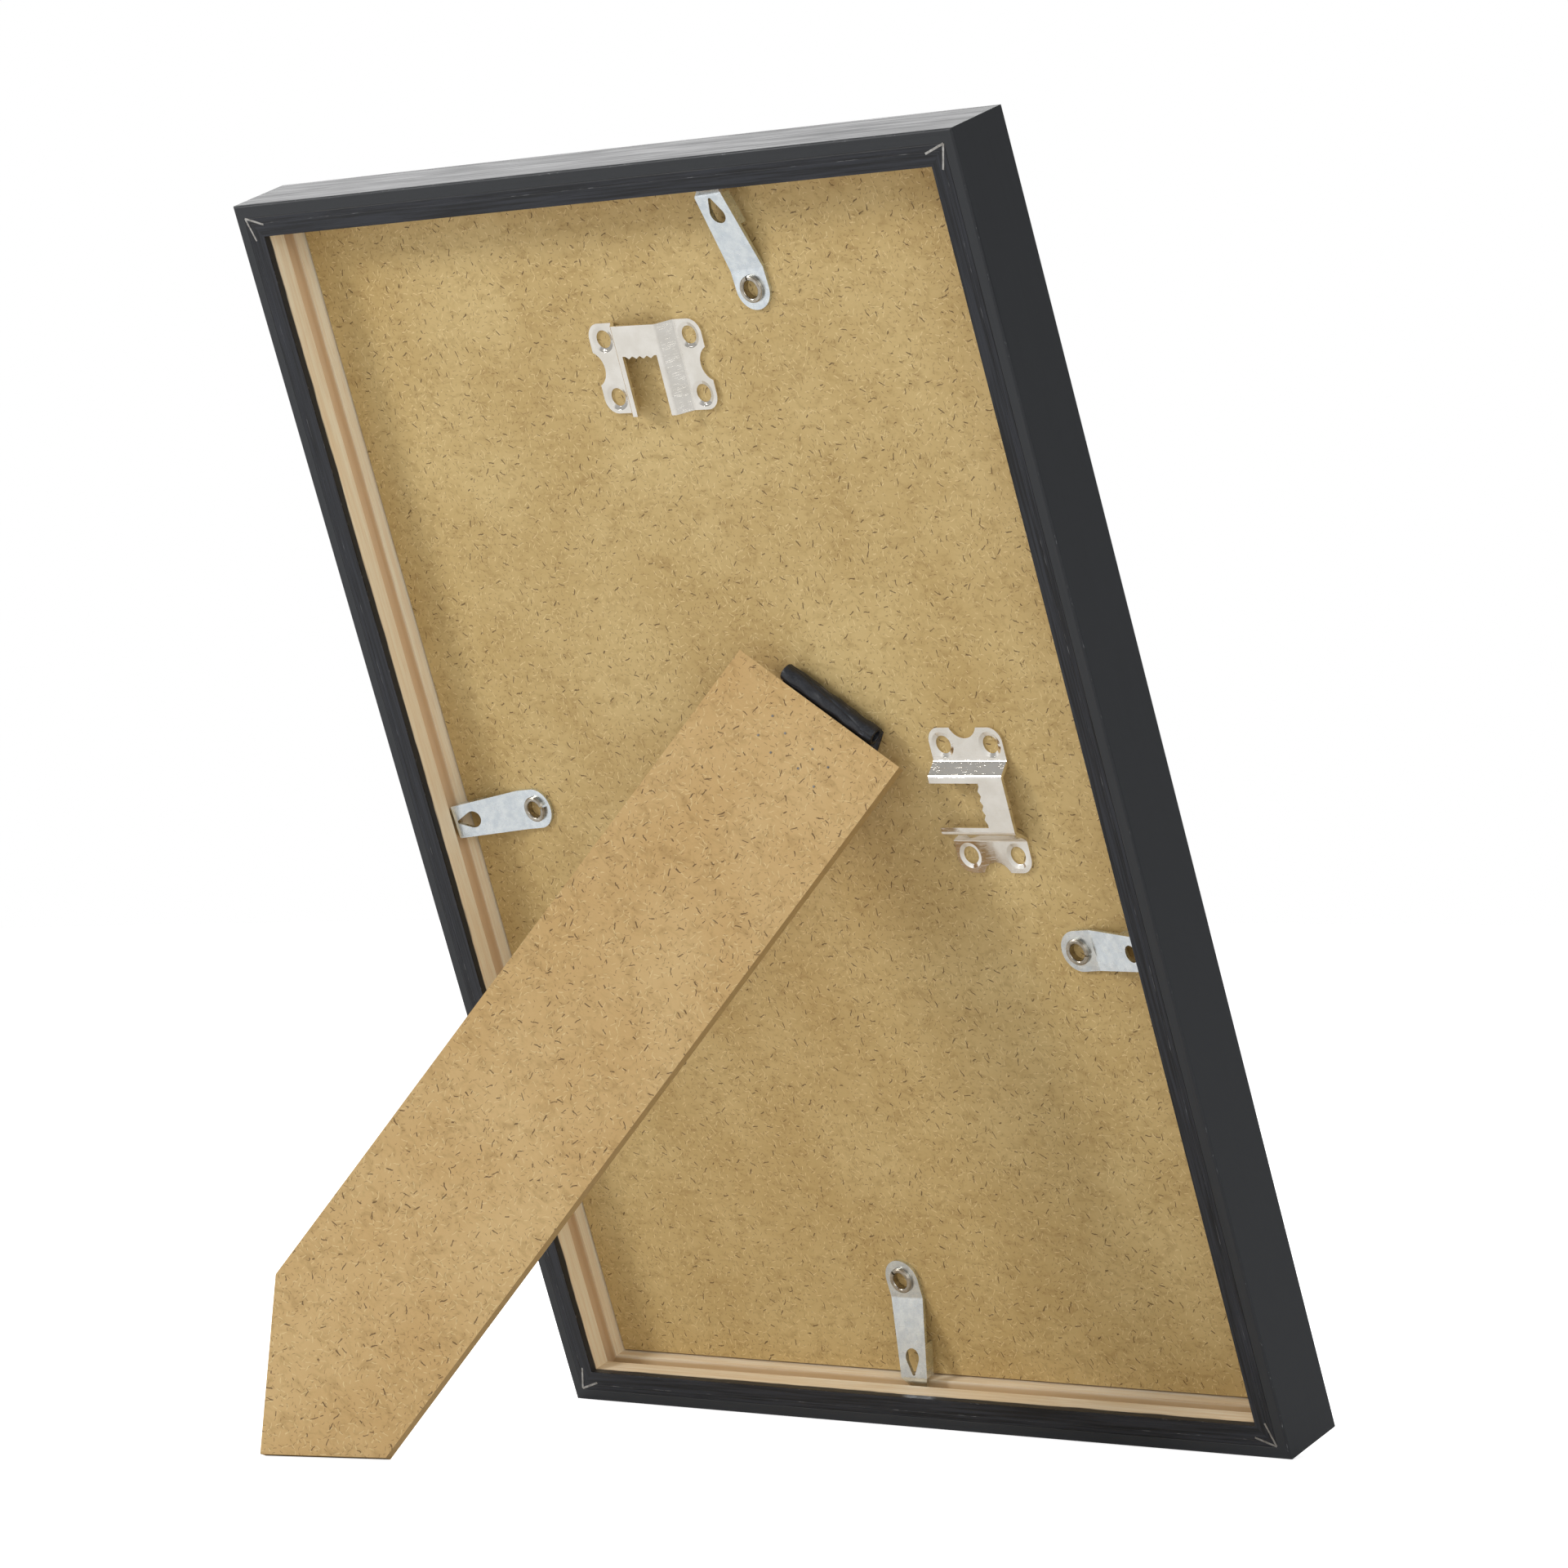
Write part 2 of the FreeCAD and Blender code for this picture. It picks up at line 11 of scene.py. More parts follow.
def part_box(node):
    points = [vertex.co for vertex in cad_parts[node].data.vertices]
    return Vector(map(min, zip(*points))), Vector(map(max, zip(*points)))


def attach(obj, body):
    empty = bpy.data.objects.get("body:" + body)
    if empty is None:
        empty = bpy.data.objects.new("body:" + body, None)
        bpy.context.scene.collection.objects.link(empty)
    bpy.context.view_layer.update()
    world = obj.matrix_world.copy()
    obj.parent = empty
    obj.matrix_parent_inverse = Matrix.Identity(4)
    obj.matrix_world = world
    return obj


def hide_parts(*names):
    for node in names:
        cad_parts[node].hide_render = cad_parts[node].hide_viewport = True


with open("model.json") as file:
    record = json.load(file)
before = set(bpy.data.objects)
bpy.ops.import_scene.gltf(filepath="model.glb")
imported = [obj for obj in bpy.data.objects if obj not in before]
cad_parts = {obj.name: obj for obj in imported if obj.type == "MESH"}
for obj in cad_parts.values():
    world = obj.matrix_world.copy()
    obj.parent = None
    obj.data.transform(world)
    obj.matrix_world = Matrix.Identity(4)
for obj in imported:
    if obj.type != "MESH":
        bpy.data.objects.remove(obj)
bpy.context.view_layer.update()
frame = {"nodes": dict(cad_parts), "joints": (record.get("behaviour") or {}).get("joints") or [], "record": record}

MM = 0.001
NODES = frame["nodes"]
MOUNTS = {mount["name"]: mount for mount in frame["record"]["mounts"]}
JOINTS = {joint["name"]: joint for joint in frame["joints"]}

# The sizes of the frame that the looks follow
RAIL_WALL = 8.0 * MM
RAIL_DEPTH = 18.0 * MM
LIP_THICK = 1.6 * MM
GROOVE_DEPTH = 3.4 * MM
BOARD_FACE = -12.5 * MM
BOARD_SKIN = 0.03 * MM
OVERSPRAY = 1.9 * MM
FILM_EDGE = 3.0 * MM
SEAM_LINE = 4.5 * MM
AXIS_HEIGHT = 3.2 * MM
STRAP_WIDTH = 27.5 * MM
STRAP_THICK = 0.7 * MM
STRAP_LENGTH = 21.0 * MM
LEG_INNER = 1.5 * MM
ROLL_RADIUS = 2.2 * MM

# The strap's grids, and the angles about the hinge where its roll starts and ends
RUN_POINTS = 14
ROLL_POINTS = 74
WIDTH_POINTS = 90
FLAP_POINTS = 60
ROLL_TURNS_DEG = (-86.0, 238.0)

# The photograph's camera, found by fitting it to the frame's corners: its place seen from the
# frame's lower rear edge, its angles in degrees, its lens and sensor in mm
CAMERA_FROM_EDGE = Vector((-945.34, 1070.60, 143.15)) * MM
CAMERA_YAW = 137.3274
CAMERA_PITCH = 0.4412
CAMERA_ROLL = -0.2590
CAMERA_LENS = 136.98
SENSOR = 36.0

# The stage, in metres and watts: each lamp's place, aim, side and power, each card's place and sides
FLOOR_HALF = 6.0
ROOM_LIGHT = 0.42
FLOOR_GLOW = 0.8
AIM = (0.0, 0.0, 0.15)
LAMPS = {
    "key": ((1.3, 1.5, 0.95), AIM, 0.5, 17.0),
    "fill": ((-1.3, 1.0, 0.5), AIM, 0.9, 6.0),
    "rim": ((1.0, -0.8, 0.95), (0.0, 0.0, 0.25), 1.2, 11.0),
}
CARDS = {
    "side_card": ((-0.75, -0.1, 0.5), (0.5, 1.0)),
    "low_card": ((-0.35, 0.75, 0.04), (0.7, 0.06)),
}

# How far noise is drawn out along a rail: high numbers across it, a low one along it
OVERSPRAY_DRIFT = (900.0, 90.0, 900.0)
WOOD_FIGURE = (1100.0, 26.0, 1100.0)
WOOD_PORES = (5200.0, 160.0, 5200.0)
PAINT_STREAKS = (1500.0, 34.0, 1500.0)
SEAM_DASHES = (2200.0, 130.0, 2200.0)
EDGE_CHIPS = (2600.0, 420.0, 2600.0)

# The same for the fibreboard, the plated steel and the strap
BOARD_MOTTLE = (260.0, 420.0, 260.0)
BOARD_GRAIN = (1300.0, 2300.0, 1300.0)
BOARD_LAYERS = (300.0, 300.0, 5200.0)
SCRATCH_DRAW = (260.0, 9000.0, 260.0)
STRAP_FOLDS = (160.0, 900.0, 900.0)

# The back view: X to the right as seen from behind, Y up the frame, Z out of the back
up_way = -Vector(MOUNTS["lower_edge"]["axis"])
right_way = -Vector((1.0, 0.0, 0.0))
out_way = right_way.cross(up_way)
BACK_TURN = Matrix((right_way, up_way, out_way)).transposed()
BACK_ORIGIN = Vector(MOUNTS["lower_edge"]["pos_m"]) + out_way * RAIL_DEPTH / 2
HALF_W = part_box("rail_top")[1].x
FRAME_H = (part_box("rail_top")[1].z + out_way.z * RAIL_DEPTH) / up_way.z

# The open leg's own axes: X along the hinge, Y up the leg, Z out of its rear face
hinge = JOINTS["easel_hinge"]
OPEN = math.radians(hinge["range_deg"][1])
leg_x = Vector(hinge["axis"])
leg_z = Matrix.Rotation(-OPEN, 3, leg_x) @ out_way
LEG_TURN = Matrix((leg_x, leg_z.cross(leg_x), leg_z)).transposed()
FLAT_TURN = Matrix((leg_x, out_way.cross(leg_x), out_way)).transposed()
HINGE_AT = Vector(hinge["pos_m"])


def to_world(points, turn, origin):
    """Turns an array of points by a rotation and moves it to an origin."""
    return points @ np.array(turn).T + np.array(origin)


def srgb(red, green, blue):
    """A colour read on an sRGB screen, as the linear colour that a shader takes."""
    values = np.array([red, green, blue]) / 255.0
    linear = np.where(values <= 0.04045, values / 12.92, ((values + 0.055) / 1.055) ** 2.4)
    return (*linear.tolist(), 1.0)


# Tones of the finishes: fibreboard and its fibres, black paint, then each rail's raw wood as pale,
# deep and pore tones. Each rail's tones carry painted light, and the pore tone is also painted shade in the groove
BOARD_TONES = {"Pale": srgb(208, 182, 126), "Deep": srgb(190, 161, 104)}
LEG_TONES = {"Pale": srgb(214, 182, 128), "Deep": srgb(202, 166, 110)}
BOARD_DARK = srgb(150, 118, 68)
FINE_FIBRE = srgb(122, 90, 50)
LIGHT_FIBRE = srgb(232, 210, 156)
DARK_SPECK = srgb(84, 58, 34)
SAWN_DEEP = srgb(150, 118, 72)
SAWN_PALE = srgb(205, 176, 122)
GRAINY_DEEP = srgb(18, 19, 22)
GRAINY_PALE = srgb(46, 48, 54)
FILM_DEEP = srgb(42, 44, 47)
FILM_PALE = srgb(49, 51, 54)
LAP_TONE = srgb(10, 10, 12)
SCUFF_TONE = srgb(150, 150, 152)
# Painted light: the left and bottom rails' raw wood is paler and the right and top rails' darker, standing in for
# how the lamps fall on each inner wall.
RAW_WOOD_WITH_PAINTED_LIGHT = {
    "rail_left": (srgb(250, 240, 214), srgb(242, 224, 192), srgb(228, 198, 154)),
    "rail_right": (srgb(232, 210, 178), srgb(214, 182, 148), srgb(192, 150, 108)),
    "rail_bottom": (srgb(244, 232, 208), srgb(230, 208, 172), srgb(212, 184, 138)),
    "rail_top": (srgb(232, 214, 184), srgb(214, 188, 152), srgb(192, 156, 112)),
}


# Node helpers


class Wiring:
    """A material's or a group's node tree, with short calls to add and join nodes."""

    def __init__(self, tree):
        self.tree = tree

    def add(self, kind, **settings):
        node = self.tree.nodes.new(kind)
        for key, value in settings.items():
            setattr(node, key, value)
        return node

    def feed(self, socket, value):
        if isinstance(value, bpy.types.NodeSocket):
            self.tree.links.new(value, socket)
        elif value is not None:
            socket.default_value = value

    def math(self, operation, first, second=None, third=None, clamp=False):
        node = self.add("ShaderNodeMath", operation=operation, use_clamp=clamp)
        for socket, value in zip(node.inputs, (first, second, third)):
            self.feed(socket, value)
        return node.outputs[0]

    def times(self, *values):
        """The product of all the values."""
        product = values[0]
        for value in values[1:]:
            product = self.math("MULTIPLY", product, value)
        return product

    def step(self, value, low, high, to_low=0.0, to_high=1.0):
        """Goes smoothly from one value to another as the input crosses a range."""
        node = self.add("ShaderNodeMapRange", interpolation_type="SMOOTHSTEP")
        for name, number in (("Value", value), ("From Min", low), ("From Max", high),
                             ("To Min", to_low), ("To Max", to_high)):
            self.feed(node.inputs[name], number)
        return node.outputs["Result"]

    def mix(self, amount, first, second):
        """Goes from the first colour to the second as the amount goes from zero to one."""
        node = self.add("ShaderNodeMix", data_type="RGBA")
        self.feed(node.inputs["Factor"], amount)
        first_colour, second_colour = node.inputs[6:8]
        self.feed(first_colour, first)
        self.feed(second_colour, second)
        return node.outputs[2]

    def noise(self, vector, scale, detail=3.0, rough=0.5, distortion=0.0, output="Fac"):
        node = self.add("ShaderNodeTexNoise")
        self.feed(node.inputs["Vector"], vector)
        for name, number in (("Scale", scale), ("Detail", detail), ("Roughness", rough),
                             ("Distortion", distortion)):
            self.feed(node.inputs[name], number)
        return node.outputs[output]

    def stretch(self, vector, scale, turn=(0.0, 0.0, 0.0), shift=(0.0, 0.0, 0.0)):
        node = self.add("ShaderNodeMapping")
        self.feed(node.inputs["Vector"], vector)
        node.inputs["Scale"].default_value = scale
        node.inputs["Rotation"].default_value = turn
        node.inputs["Location"].default_value = shift
        return node.outputs[0]

    def split(self, vector):
        node = self.add("ShaderNodeSeparateXYZ")
        self.feed(node.inputs[0], vector)
        return node.outputs[0], node.outputs[1], node.outputs[2]

    def bump(self, height, distance, strength):
        node = self.add("ShaderNodeBump")
        self.feed(node.inputs["Height"], height)
        node.inputs["Distance"].default_value = distance
        node.inputs["Strength"].default_value = strength
        return node.outputs[0]

    def group(self, tree, **inputs):
        node = self.add("ShaderNodeGroup", node_tree=tree)
        for name, value in inputs.items():
            self.feed(node.inputs[name.replace("_", " ")], value)
        return node.outputs


def line_at(net, across, middle, core, reach):
    """A line along a piece: one up to its core's half width, and zero from its reach on."""
    away = net.math("ABSOLUTE", net.math("SUBTRACT", across, middle))
    return net.step(away, core, reach, 1.0, 0.0)


def own_coords(net, turn, origin):
    """Object coordinates carried into a piece's own axes."""
    inverse = turn.transposed()
    mapping = net.add("ShaderNodeMapping")
    coords = net.add("ShaderNodeTexCoord")
    net.feed(mapping.inputs["Vector"], coords.outputs["Object"])
    mapping.inputs["Rotation"].default_value = inverse.to_euler("XYZ")
    mapping.inputs["Location"].default_value = -(inverse @ origin)
    return mapping.outputs[0]


def new_material(name):
    """A material with its node helper and its shader."""
    material = bpy.data.materials.new(name)
    material.use_nodes = True
    net = Wiring(material.node_tree)
    shader = material.node_tree.nodes["Principled BSDF"]
    return material, net, shader


def new_group(name, inputs, outputs):
    """A shader node group with named inputs and outputs."""
    tree = bpy.data.node_groups.new(name, "ShaderNodeTree")
    for label, kind, value in inputs:
        socket = tree.interface.new_socket(label, in_out="INPUT", socket_type=kind)
        if value is not None:
            socket.default_value = value
    for label, kind in outputs:
        tree.interface.new_socket(label, in_out="OUTPUT", socket_type=kind)
    net = Wiring(tree)
    return tree, net, net.add("NodeGroupInput"), net.add("NodeGroupOutput")


def fibre_group():
    """Short straight fibres: each cell of a Voronoi pattern holds one stroke at its own angle."""
    tree, net, given, result = new_group(
        "short fibres",
        [("Vector", "NodeSocketVector", None), ("Scale", "NodeSocketFloat", 500.0),
         ("Half Length", "NodeSocketFloat", 0.4), ("Half Width", "NodeSocketFloat", 0.05),
         ("Share", "NodeSocketFloat", 0.5)],
        [("Mask", "NodeSocketFloat")])
    bend = net.noise(given.outputs["Vector"], 900.0, 1.0, output="Color")
    shift = net.add("ShaderNodeVectorMath", operation="MULTIPLY_ADD")
    net.feed(shift.inputs[0], bend)
    shift.inputs[1].default_value = (0.0007, 0.0007, 0.0)
    net.feed(shift.inputs[2], given.outputs["Vector"])
    scaled = net.add("ShaderNodeVectorMath", operation="SCALE")
    net.feed(scaled.inputs[0], shift.outputs[0])
    net.feed(scaled.inputs["Scale"], given.outputs["Scale"])
    cells = net.add("ShaderNodeTexVoronoi", voronoi_dimensions="2D")
    net.feed(cells.inputs["Vector"], scaled.outputs[0])
    cells.inputs["Scale"].default_value = 1.0
    offset = net.add("ShaderNodeVectorMath", operation="SUBTRACT")
    net.feed(offset.inputs[0], scaled.outputs[0])
    net.feed(offset.inputs[1], cells.outputs["Position"])
    colour = net.add("ShaderNodeSeparateColor")
    net.feed(colour.inputs[0], cells.outputs["Color"])
    angle = net.math("MULTIPLY", colour.outputs[0], 2 * math.pi)
    turned = net.add("ShaderNodeVectorRotate", rotation_type="Z_AXIS")
    net.feed(turned.inputs["Vector"], offset.outputs[0])
    net.feed(turned.inputs["Angle"], angle)
    along, across, _ = net.split(turned.outputs[0])
    longways = net.math("ABSOLUTE", along)
    sideways = net.math("ABSOLUTE", across)
    share_of_length = net.step(colour.outputs[2], 0.0, 1.0, 0.4, 1.0)
    reach = net.times(given.outputs["Half Length"], share_of_length)
    ends = net.math("SUBTRACT", 1.0, net.step(longways, net.times(reach, 0.7), reach))
    width = given.outputs["Half Width"]
    body = net.math("SUBTRACT", 1.0, net.step(sideways, net.times(width, 0.4), width))
    chosen = net.math("LESS_THAN", colour.outputs[1], given.outputs["Share"])
    net.feed(result.inputs[0], net.times(ends, body, chosen))
    return tree


def scratch_group():
    """Long fine scratches in two crossing directions, and soft handling smudges."""
    tree, net, given, result = new_group(
        "scratches and smudges", [("Vector", "NodeSocketVector", None)],
        [("Scratch", "NodeSocketFloat"), ("Smudge", "NodeSocketFloat")])
    lines = []
    for turn, shift in ((0.35, 0.0), (-0.9, 3.1)):
        stretched = net.stretch(given.outputs["Vector"], SCRATCH_DRAW, (0.0, 0.0, turn), (shift, 0.0, 0.0))
        lines.append(net.step(net.noise(stretched, 1.0, 2.0), 0.63, 0.72))
    net.feed(result.inputs[0], net.math("MAXIMUM", lines[0], lines[1]))
    net.feed(result.inputs[1], net.step(net.noise(given.outputs["Vector"], 240.0, 4.0), 0.35, 0.7))
    return tree


FIBRES = fibre_group()
SCRATCHES = scratch_group()
FINISH_OUTPUTS = [("Colour", "NodeSocketColor"), ("Roughness", "NodeSocketFloat"),
                  ("Normal", "NodeSocketVector")]


def pressed_fibres(net, place, spin, shift, **sizes):
    """One layer of fibres, spun and shifted so that the layers don't repeat each other."""
    spun = net.stretch(place, (1.0, 1.0, 1.0), (0.0, 0.0, spin), (*shift, 0.0))
    return net.group(FIBRES, Vector=spun, **sizes)["Mask"]


def fibreboard_group():
    """Smooth hard fibreboard: golden brown, mottled, with dark and pale fibres pressed into it.

    Below the low face's depth and above the high face's lie the two faces. Between them lies the
    sawn edge, in pale and dark layers.
    """
    tree, net, given, result = new_group(
        "fibreboard finish",
        [("Vector", "NodeSocketVector", None), ("Pale", "NodeSocketColor", None),
         ("Deep", "NodeSocketColor", None), ("Low Face", "NodeSocketFloat", None),
         ("High Face", "NodeSocketFloat", None)],
        FINISH_OUTPUTS)
    place, pale, deep = (given.outputs[name] for name in ("Vector", "Pale", "Deep"))
    depth = net.split(place)[2]
    cloud = net.noise(place, 28.0, 5.0, 0.6)
    mottle = net.noise(net.stretch(place, BOARD_MOTTLE), 1.0, 4.0, 0.65, 0.6)
    grain = net.noise(net.stretch(place, BOARD_GRAIN), 1.0, 3.0, 0.7, 0.8)
    base = net.mix(net.step(cloud, 0.3, 0.7), deep, pale)
    base = net.mix(net.times(net.step(mottle, 0.45, 0.72), 0.45), base, BOARD_DARK)
    base = net.mix(net.times(net.step(grain, 0.3, 0.75), 0.3), base, pale)
    fine = pressed_fibres(net, place, 0.0, (0.0, 0.0),
                          Scale=880.0, Half_Length=0.55, Half_Width=0.1, Share=0.5)
    light = pressed_fibres(net, place, 1.1, (0.31, 0.17),
                           Scale=620.0, Half_Length=0.6, Half_Width=0.08, Share=0.55)
    specks = pressed_fibres(net, place, 2.3, (0.11, 0.57),
                            Scale=300.0, Half_Length=0.32, Half_Width=0.055, Share=0.45)
    base = net.mix(net.times(fine, 0.55), base, FINE_FIBRE)
    base = net.mix(net.times(light, 0.65), base, LIGHT_FIBRE)
    base = net.mix(net.times(specks, 0.8), base, DARK_SPECK)
    near_low = net.math("LESS_THAN", depth, given.outputs["Low Face"])
    near_high = net.math("GREATER_THAN", depth, given.outputs["High Face"])
    face = net.math("MAXIMUM", near_low, near_high)
    layers = net.noise(net.stretch(place, BOARD_LAYERS), 1.0, 3.0, 0.6)
    sawn = net.mix(layers, SAWN_DEEP, SAWN_PALE)
    net.feed(result.inputs["Colour"], net.mix(face, sawn, base))
    net.feed(result.inputs["Roughness"], net.step(mottle, 0.3, 0.7, 0.58, 0.72))
    height = net.math("ADD", net.times(grain, 0.5), net.times(light, 0.35))
    height = net.math("SUBTRACT", height, net.times(net.math("MAXIMUM", fine, specks), 0.4))
    net.feed(result.inputs["Normal"], net.bump(height, 0.06 * MM, 0.8))
    return tree


def raw_mask(net, place):
    """One where the inner wall is bare: below the overspray's wavy edge and above the lip."""
    across, _, depth = net.split(place)
    drift = net.noise(net.stretch(place, OVERSPRAY_DRIFT), 1.0, 3.0)
    wavy = net.math("MULTIPLY_ADD", drift, 0.9 * MM, depth)
    groove_floor = RAIL_WALL - GROOVE_DEPTH
    inside = net.step(across, groove_floor - 0.3 * MM, groove_floor - 0.1 * MM)
    below = net.step(wavy, -OVERSPRAY + 0.25 * MM, -OVERSPRAY + 0.75 * MM, 1.0, 0.0)
    lip_top = -RAIL_DEPTH + LIP_THICK
    above = net.step(depth, lip_top - 0.02 * MM, lip_top + 0.02 * MM)
    return net.times(inside, below, above)


def raw_wood(net, place, tones):
    """Bare softwood's colour and figure: long streaks and short pores, with painted shade darkening the groove."""
    pale, deep, pores_and_groove_shade = tones
    across = net.split(place)[0]
    figure = net.noise(net.stretch(place, WOOD_FIGURE), 1.0, 4.0, 0.6, 0.4)
    pores = net.step(net.noise(net.stretch(place, WOOD_PORES), 1.0, 2.0), 0.56, 0.7)
    wood = net.mix(net.step(figure, 0.32, 0.68), pale, deep)
    wood = net.mix(net.times(pores, 0.35), wood, pores_and_groove_shade)
    # Painted shade: the groove's recess is darkened with the pore tone.
    groove_shade = net.step(across, RAIL_WALL - 0.9 * MM, RAIL_WALL - 0.1 * MM, 1.0, 0.0)
    return net.mix(net.times(groove_shade, 0.75), wood, pores_and_groove_shade), figure


def black_paint(net, place, streaks):
    """The black finish's colour, and the masks of its grainy part and of its fine lines.

    The back is grainy from the film's lap inwards. A seam line with pale dashes follows its middle,
    and both of its edges are chipped.
    """
    across, _, depth = net.split(place)
    on_back = net.step(depth, -0.45 * MM, -0.2 * MM)
    film = net.step(across, FILM_EDGE - 0.05 * MM, FILM_EDGE + 0.05 * MM, 1.0, 0.0)
    grainy = net.times(net.math("SUBTRACT", 1.0, film), on_back)
    grainy_tone = net.mix(net.step(streaks, 0.35, 0.65), GRAINY_DEEP, GRAINY_PALE)
    film_tone = net.mix(net.step(streaks, 0.2, 0.8), FILM_DEEP, FILM_PALE)
    black = net.mix(grainy, film_tone, grainy_tone)
    seam_line = net.times(line_at(net, across, SEAM_LINE, 0.02 * MM, 0.12 * MM), on_back)
    lap_line = net.times(line_at(net, across, FILM_EDGE, 0.03 * MM, 0.16 * MM), on_back)
    dashes = net.step(net.noise(net.stretch(place, SEAM_DASHES), 1.0, 4.0, 0.7), 0.55, 0.66)
    inner_edge = line_at(net, across, RAIL_WALL, 0.05 * MM, 0.3 * MM)
    outer_edge = net.step(across, 0.15 * MM, 0.5 * MM, 1.0, 0.0)
    edges = net.times(net.math("MAXIMUM", inner_edge, outer_edge), on_back)
    chips = net.step(net.noise(net.stretch(place, EDGE_CHIPS), 1.0, 5.0, 0.75), 0.6, 0.68)
    scuff = net.math("MAXIMUM", net.times(seam_line, dashes, 0.55), net.times(edges, chips, 0.6))
    black = net.mix(net.times(lap_line, 0.8), black, LAP_TONE)
    return net.mix(scuff, black, SCUFF_TONE), grainy, net.math("MAXIMUM", lap_line, seam_line)


def moulding_group():
    """Painted moulding in its own axes: X in from the outer face, Y along the rail, Z out of the back.

    The inner wall below the overspray is raw wood with painted shade in its groove. The rest is black.
    """
    tree, net, given, result = new_group(
        "moulding finish",
        [("Vector", "NodeSocketVector", None), ("Pale", "NodeSocketColor", None),
         ("Deep", "NodeSocketColor", None), ("PoresAndShade", "NodeSocketColor", None)],
        FINISH_OUTPUTS)
    place = given.outputs["Vector"]
    streaks = net.noise(net.stretch(place, PAINT_STREAKS), 1.0, 4.0, 0.65)
    raw = raw_mask(net, place)
    tones = [given.outputs[name] for name in ("Pale", "Deep", "PoresAndShade")]
    wood, figure = raw_wood(net, place, tones)
    black, grainy, lines = black_paint(net, place, streaks)
    net.feed(result.inputs["Colour"], net.mix(raw, black, wood))
    rough = net.math("MULTIPLY_ADD", grainy, 0.08, net.step(streaks, 0.3, 0.7, 0.36, 0.52))
    net.feed(result.inputs["Roughness"], net.math("MULTIPLY_ADD", raw, 0.18, rough, clamp=True))
    groovy = net.times(streaks, net.math("MULTIPLY_ADD", grainy, 0.9, 0.12))
    height = net.math("ADD", groovy, net.times(lines, -0.9))
    height = net.math("ADD", height, net.times(figure, raw, 0.8))
    net.feed(result.inputs["Normal"], net.bump(height, 0.12 * MM, 0.7))
    return tree


def plated_group():
    """Plated sheet steel: a bright metal with cloudy patches, fine scratches and soft smudges."""
    tree, net, given, result = new_group(
        "plated finish",
        [("Vector", "NodeSocketVector", None), ("Bright", "NodeSocketColor", None),
         ("Dull", "NodeSocketColor", None), ("Rough Low", "NodeSocketFloat", None),
         ("Rough High", "NodeSocketFloat", None), ("Cloud Scale", "NodeSocketFloat", None)],
        FINISH_OUTPUTS)
    place, bright, dull = (given.outputs[name] for name in ("Vector", "Bright", "Dull"))
    marks = net.group(SCRATCHES, Vector=place)
    crystals = net.noise(place, given.outputs["Cloud Scale"], 4.0, 0.6)
    colour = net.mix(net.step(crystals, 0.3, 0.7), dull, bright)
    net.feed(result.inputs["Colour"], net.mix(net.times(marks["Scratch"], 0.25), colour, dull))
    cloudy = net.step(marks["Smudge"], 0.0, 1.0, given.outputs["Rough Low"], given.outputs["Rough High"])
    net.feed(result.inputs["Roughness"], net.math("MULTIPLY_ADD", marks["Scratch"], 0.08, cloudy))
    height = net.math("ADD", net.times(crystals, 0.5), net.times(marks["Scratch"], -0.5))
    net.feed(result.inputs["Normal"], net.bump(height, 0.02 * MM, 0.5))
    return tree


FIBREBOARD = fibreboard_group()
MOULDING = moulding_group()
PLATED = plated_group()


# Materials


def finished(name, group, turn, origin, specular, metallic, **values):
    """A material that takes its colour, roughness and normal from a finish in a piece's own axes."""
    material, net, shader = new_material(name)
    finish = net.group(group, Vector=own_coords(net, turn, origin), **values)
    net.feed(shader.inputs["Base Color"], finish["Colour"])
    net.feed(shader.inputs["Roughness"], finish["Roughness"])
    net.feed(shader.inputs["Normal"], finish["Normal"])
    shader.inputs["Specular IOR Level"].default_value = specular
    shader.inputs["Metallic"].default_value = metallic
    return material


def plated(name, bright, dull, rough_low, rough_high, cloud_scale):
    """One of the plated metals, from its two tones, its roughness range and its clouds' scale."""
    return finished(name, PLATED, BACK_TURN, BACK_ORIGIN, 0.5, 1.0, Bright=bright, Dull=dull,
                    Rough_Low=rough_low, Rough_High=rough_high, Cloud_Scale=cloud_scale)


def coated_strap():
    """Black coated cloth: dark, softly shiny, with a leathery pebble and pale streaks along its folds that are
    partly rubbed wear and partly painted highlight.
    """
    material, net, shader = new_material("coated strap")
    place = own_coords(net, LEG_TURN, HINGE_AT)
    pebble = net.noise(place, 2600.0, 4.0, 0.6)
    folds = net.noise(net.stretch(place, STRAP_FOLDS), 1.0, 3.0, 0.6)
    rubbed_and_highlight = net.times(net.step(folds, 0.62, 0.7), 0.5)
    dark = net.mix(net.step(pebble, 0.3, 0.7), srgb(22, 24, 29), srgb(38, 41, 48))
    # Pale bluish streaks: rubbed wear on the creases, and painted highlight along the roll.
    net.feed(shader.inputs["Base Color"], net.mix(rubbed_and_highlight, dark, srgb(98, 100, 112)))
    net.feed(shader.inputs["Roughness"], net.step(pebble, 0.3, 0.7, 0.3, 0.48))
    height = net.math("ADD", net.times(pebble, 0.4), folds)
    net.feed(shader.inputs["Normal"], net.bump(height, 0.16 * MM, 0.8))
    return material


